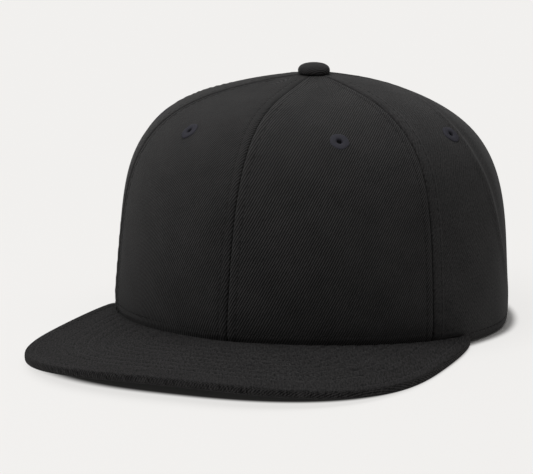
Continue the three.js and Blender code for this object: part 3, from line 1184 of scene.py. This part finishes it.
band = {
    "gap": 0.3 * mm,
    "thickness": 1.2 * mm,
    "height": 32 * mm,
    "lift": 1.5 * mm,
    "rows": 19,
    "columns": 181,
    "beforeStrap": 0.3,  # degrees
}
# the strap's base, the layer snapped over it with its holes, and the studs in them
strap = {
    "thickness": 1.3 * mm,
    "height": 17 * mm,
    "lift": 1.5 * mm,
    "tab": 10 * mm,
    "corner": 1.2 * mm,
    "overlap": 56 * mm,
    "over": 1.1 * mm,
    "overFrom": 12 * mm,
    "overInset": 0.2 * mm,
    "overCorner": 7.5 * mm,
    "studs": 7,
    "pitch": 7.5 * mm,
    "hole": {"segments": 28, "radii": (2.35 * mm, 2.35 * mm), "depth": 1.24 * mm, "out": 0.6 * mm},
    "stud": {"segments": 24, "radii": (1.95 * mm, 1.6 * mm), "depth": 1.7 * mm, "out": 0.55 * mm},
    "cuts": 2.6 * mm,
    "behindWall": 0.6 * mm,
    "softEdge": 0.25 * mm,
}
strapEnd = float(backAngle(arch["width"] / 2 + strap["tab"]))


def makeSweatband():
    rows, columns = band["rows"], band["columns"]
    end = 180 - strapEnd - band["beforeStrap"]
    angle = np.linspace(-end, end, columns)[None, :].repeat(rows, 0)
    share = np.linspace(0, 1, rows)
    height = (band["lift"] + band["height"] * share)[:, None].repeat(columns, 1)
    rounding = np.sin(np.pi * share)[:, None] ** 0.3
    outside = crown["wall"] + band["gap"]
    faces = []
    for depth in (outside, outside + band["thickness"] * (0.4 + 0.6 * rounding)):
        depth = np.broadcast_to(depth, angle.shape)
        faces.append(sunkPoint(angle, shareAt(lambda s: angle, depth, height), depth))
    bm = bmesh.new()
    slabUv(bm, closedSlab(bm, *faces), np.radians(angle) * crown["halfWidth"], height)
    piece = finishMesh(bm, "cap_sweatband", materials["band"])
    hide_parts("sweatband")
    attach(piece, "root")


def roundedStrip(bm, low, high, bottom, top, back, face, radius):
    # a flat strip with round ends: x along, z up, y from its back to its face
    left, right, foot, head = low + radius, high - radius, bottom + radius, top - radius
    outline = []
    for quarter, (x, z) in enumerate(((right, head), (left, head), (left, foot), (right, foot))):
        for turn in np.linspace(0, math.pi / 2, 7) + quarter * math.pi / 2:
            outline.append((x + radius * math.cos(turn), z + radius * math.sin(turn)))
    sheet = bm.faces.new([bm.verts.new((x, back, z)) for x, z in outline])
    pushOut(bm, sheet, (0, face - back, 0))


def studRow(bm, look, turn):
    # cones along the strap, for the holes or for the studs
    tilt = Matrix.Rotation(turn, 4, "X")
    for i in range(strap["studs"]):
        x = (i - (strap["studs"] - 1) / 2) * strap["pitch"]
        spot = (x, strap["thickness"] + look["out"], strap["lift"] + strap["height"] / 2)
        addCone(bm, look["segments"], *look["radii"], look["depth"], Matrix.Translation(spot) @ tilt)


def makeStrap():
    look = strap
    whole = arch["width"] / 2 + look["tab"]
    foot, head, inset = look["lift"], look["lift"] + look["height"], look["overInset"]
    bm = bmesh.new()
    roundedStrip(bm, -whole, whole, foot, head, 0, look["thickness"], look["corner"])
    base = finishMesh(bm, "cap_snap_strap", materials["plastic"], False)
    bm = bmesh.new()
    ends = (look["overFrom"] - whole, look["overlap"] / 2)
    back, face = look["thickness"] - inset, look["thickness"] + look["over"]
    roundedStrip(bm, *ends, foot + inset, head - inset, back, face, look["overCorner"])
    over = finishMesh(bm, "strapOver", materials["plastic"], False)
    bm = bmesh.new()
    studRow(bm, look["hole"], math.pi / 2)
    cutAway(over, finishMesh(bm, "strapHoles", materials["plastic"], False))
    bm = bmesh.new()
    bm.from_mesh(base.data)
    bm.from_mesh(over.data)
    studRow(bm, look["stud"], -math.pi / 2)
    bpy.data.objects.remove(over)
    # cross cuts let the strip follow the crown's curve
    for x in np.arange(look["cuts"] / 2 - whole, whole, look["cuts"]):
        every = bm.verts[:] + bm.edges[:] + bm.faces[:]
        bmesh.ops.bisect_plane(bm, geom=every, plane_co=(x, 0, 0), plane_no=(1, 0, 0), dist=1e-7)
    points = np.array([v.co[:] for v in bm.verts])
    angle = 180 - np.sign(points[:, 0]) * backAngle(np.abs(points[:, 0]))
    depth = crown["wall"] + look["behindWall"] + look["thickness"] - points[:, 1]
    share = shareAt(lambda s: angle, depth, points[:, 2])
    for vert, point in zip(bm.verts, sunkPoint(angle, share, depth)):
        vert.co = point
    faceOut(bm)
    bm.to_mesh(base.data)
    bm.free()
    soften = base.modifiers.new("edges", "BEVEL")
    soften.width, soften.segments, soften.limit_method = look["softEdge"], 2, "ANGLE"
    base.data.shade_smooth()
    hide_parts("snap_strap")
    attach(base, "root")


makeSweatband()
makeStrap()
print("button, sweatband and strap made")
